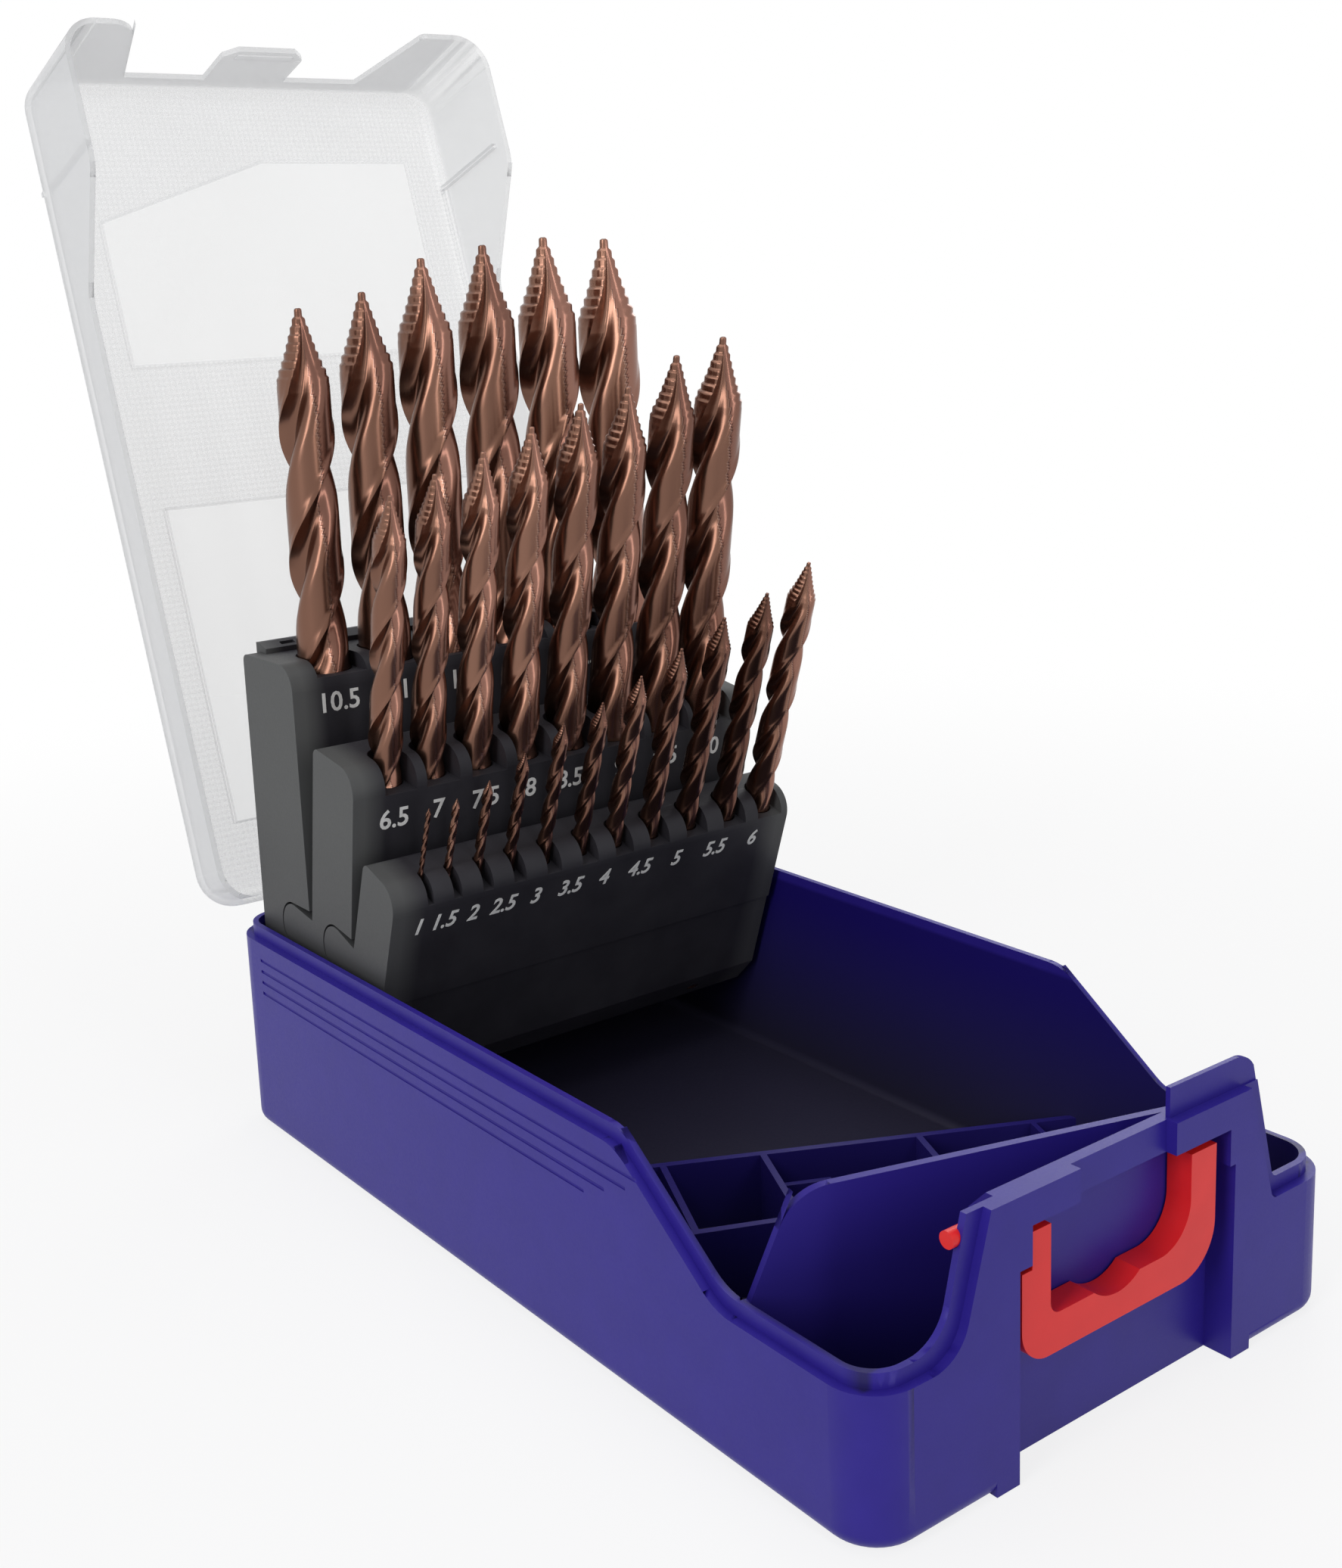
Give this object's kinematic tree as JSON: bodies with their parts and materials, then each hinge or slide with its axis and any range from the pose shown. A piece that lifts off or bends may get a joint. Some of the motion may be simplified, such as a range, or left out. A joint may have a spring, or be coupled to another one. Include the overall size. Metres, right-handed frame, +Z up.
{
  "type": "drill bit case",
  "caption": "Twist drill case with a deep tray, a clear hinged lid, a front latch and three stepped blocks of bronze drills that fan up as the lid opens.",
  "frame": {"origin": "centre of the tray's underside, on the surface it stands on", "axes": "+Z up; -Y towards the latch at the front, so +Y towards the lid's hinge; +X to the right seen from the front"},
  "size_m": [0.103, 0.2625, 0.2245],
  "materials": {
    "tray_plastic": "satin moulded blue-violet plastic",
    "lid_plastic": "clear plastic with a fine dimpled texture",
    "latch_plastic": "red moulded plastic",
    "block_plastic": "matte black moulded plastic",
    "drill_steel": "bronze-brown coated tool steel",
    "pin_steel": "bright steel"
  },
  "bodies": {
    "tray": {"tray": "tray_plastic", "divider": "tray_plastic", "foot_pads": "block_plastic", "hinge_pins": "pin_steel"},
    "lid": {"lid": "lid_plastic"},
    "latch": {"latch": "latch_plastic"},
    "rear_block": {"rear_block": "block_plastic", "lift_strip": "block_plastic", "pivot_pins": "block_plastic"},
    "middle_block": {"middle_block": "block_plastic", "middle_pins": "block_plastic"},
    "front_block": {"front_block": "block_plastic", "front_pins": "block_plastic"},
    "drill_1_0": {"drill_1_0": "drill_steel"},
    "drill_1_5": {"drill_1_5": "drill_steel"},
    "drill_2_0": {"drill_2_0": "drill_steel"},
    "drill_2_5": {"drill_2_5": "drill_steel"},
    "drill_3_0": {"drill_3_0": "drill_steel"},
    "drill_3_5": {"drill_3_5": "drill_steel"},
    "drill_4_0": {"drill_4_0": "drill_steel"},
    "drill_4_5": {"drill_4_5": "drill_steel"},
    "drill_5_0": {"drill_5_0": "drill_steel"},
    "drill_5_5": {"drill_5_5": "drill_steel"},
    "drill_6_0": {"drill_6_0": "drill_steel"},
    "drill_6_5": {"drill_6_5": "drill_steel"},
    "drill_7_0": {"drill_7_0": "drill_steel"},
    "drill_7_5": {"drill_7_5": "drill_steel"},
    "drill_8_0": {"drill_8_0": "drill_steel"},
    "drill_8_5": {"drill_8_5": "drill_steel"},
    "drill_9_0": {"drill_9_0": "drill_steel"},
    "drill_9_5": {"drill_9_5": "drill_steel"},
    "drill_10_0": {"drill_10_0": "drill_steel"},
    "drill_10_5": {"drill_10_5": "drill_steel"},
    "drill_11_0": {"drill_11_0": "drill_steel"},
    "drill_11_5": {"drill_11_5": "drill_steel"},
    "drill_12_0": {"drill_12_0": "drill_steel"},
    "drill_12_5": {"drill_12_5": "drill_steel"},
    "drill_13_0": {"drill_13_0": "drill_steel"}
  },
  "joints": [
    {"name": "rear_block_tilt", "type": "hinge", "parent": "tray", "child": "rear_block", "pos_m": [0, 0.0715, 0.0365], "axis": [-1, 0, 0], "range_deg": [-90, 0]},
    {"name": "lid_hinge", "type": "hinge", "parent": "tray", "child": "lid", "pos_m": [0, 0.0954, 0.041], "axis": [-1, 0, 0], "range_deg": [-109.1, 0]},
    {"name": "middle_block_fan", "type": "hinge", "parent": "rear_block", "child": "middle_block", "pos_m": [0, 0.0737, 0.0446], "axis": [1, 0, 0], "range_deg": [-9.5, 0]},
    {"name": "front_block_fan", "type": "hinge", "parent": "middle_block", "child": "front_block", "pos_m": [0, 0.0566, 0.04437], "axis": [1, 0, 0], "range_deg": [-9.5, 0]},
    {"name": "latch_pivot", "type": "hinge", "parent": "tray", "child": "latch", "pos_m": [0, -0.0898, 0.04], "axis": [-1, 0, 0], "range_deg": [0, 20]},
    {"name": "drill_1_0_pull", "type": "slide", "parent": "front_block", "child": "drill_1_0", "axis": [0, -0.3256, 0.9455], "range_m": [0, 0.02]},
    {"name": "drill_1_5_pull", "type": "slide", "parent": "front_block", "child": "drill_1_5", "axis": [0, -0.3256, 0.9455], "range_m": [0, 0.0253]},
    {"name": "drill_2_0_pull", "type": "slide", "parent": "front_block", "child": "drill_2_0", "axis": [0, -0.3256, 0.9455], "range_m": [0, 0.0319]},
    {"name": "drill_2_5_pull", "type": "slide", "parent": "front_block", "child": "drill_2_5", "axis": [0, -0.3256, 0.9455], "range_m": [0, 0.0356]},
    {"name": "drill_3_0_pull", "type": "slide", "parent": "front_block", "child": "drill_3_0", "axis": [0, -0.3256, 0.9455], "range_m": [0, 0.0347]},
    {"name": "drill_3_5_pull", "type": "slide", "parent": "front_block", "child": "drill_3_5", "axis": [0, -0.3256, 0.9455], "range_m": [0, 0.041]},
    {"name": "drill_4_0_pull", "type": "slide", "parent": "front_block", "child": "drill_4_0", "axis": [0, -0.3256, 0.9455], "range_m": [0, 0.0418]},
    {"name": "drill_4_5_pull", "type": "slide", "parent": "front_block", "child": "drill_4_5", "axis": [0, -0.3256, 0.9455], "range_m": [0, 0.0424]},
    {"name": "drill_5_0_pull", "type": "slide", "parent": "front_block", "child": "drill_5_0", "axis": [0, -0.3256, 0.9455], "range_m": [0, 0.0433]},
    {"name": "drill_5_5_pull", "type": "slide", "parent": "front_block", "child": "drill_5_5", "axis": [0, -0.3256, 0.9455], "range_m": [0, 0.0465]},
    {"name": "drill_6_0_pull", "type": "slide", "parent": "front_block", "child": "drill_6_0", "axis": [0, -0.3256, 0.9455], "range_m": [0, 0.0412]},
    {"name": "drill_6_5_pull", "type": "slide", "parent": "middle_block", "child": "drill_6_5", "axis": [0, -0.165, 0.9863], "range_m": [0, 0.0513]},
    {"name": "drill_7_0_pull", "type": "slide", "parent": "middle_block", "child": "drill_7_0", "axis": [0, -0.165, 0.9863], "range_m": [0, 0.0563]},
    {"name": "drill_7_5_pull", "type": "slide", "parent": "middle_block", "child": "drill_7_5", "axis": [0, -0.165, 0.9863], "range_m": [0, 0.0531]},
    {"name": "drill_8_0_pull", "type": "slide", "parent": "middle_block", "child": "drill_8_0", "axis": [0, -0.165, 0.9863], "range_m": [0, 0.0573]},
    {"name": "drill_8_5_pull", "type": "slide", "parent": "middle_block", "child": "drill_8_5", "axis": [0, -0.165, 0.9863], "range_m": [0, 0.0537]},
    {"name": "drill_9_0_pull", "type": "slide", "parent": "middle_block", "child": "drill_9_0", "axis": [0, -0.165, 0.9863], "range_m": [0, 0.0593]},
    {"name": "drill_9_5_pull", "type": "slide", "parent": "middle_block", "child": "drill_9_5", "axis": [0, -0.165, 0.9863], "range_m": [0, 0.0539]},
    {"name": "drill_10_0_pull", "type": "slide", "parent": "middle_block", "child": "drill_10_0", "axis": [0, -0.165, 0.9863], "range_m": [0, 0.0589]},
    {"name": "drill_10_5_pull", "type": "slide", "parent": "rear_block", "child": "drill_10_5", "axis": [0, 0, 1], "range_m": [0, 0.0666]},
    {"name": "drill_11_0_pull", "type": "slide", "parent": "rear_block", "child": "drill_11_0", "axis": [0, 0, 1], "range_m": [0, 0.0731]},
    {"name": "drill_11_5_pull", "type": "slide", "parent": "rear_block", "child": "drill_11_5", "axis": [0, 0, 1], "range_m": [0, 0.0671]},
    {"name": "drill_12_0_pull", "type": "slide", "parent": "rear_block", "child": "drill_12_0", "axis": [0, 0, 1], "range_m": [0, 0.0739]},
    {"name": "drill_12_5_pull", "type": "slide", "parent": "rear_block", "child": "drill_12_5", "axis": [0, 0, 1], "range_m": [0, 0.0727]},
    {"name": "drill_13_0_pull", "type": "slide", "parent": "rear_block", "child": "drill_13_0", "axis": [0, 0, 1], "range_m": [0, 0.0733]}
  ],
  "couplings": [
    {"joint": "lid_hinge", "follows": "rear_block_tilt", "ratio": 1.2122},
    {"joint": "middle_block_fan", "follows": "rear_block_tilt", "ratio": 0.10556},
    {"joint": "front_block_fan", "follows": "rear_block_tilt", "ratio": 0.10556}
  ]
}
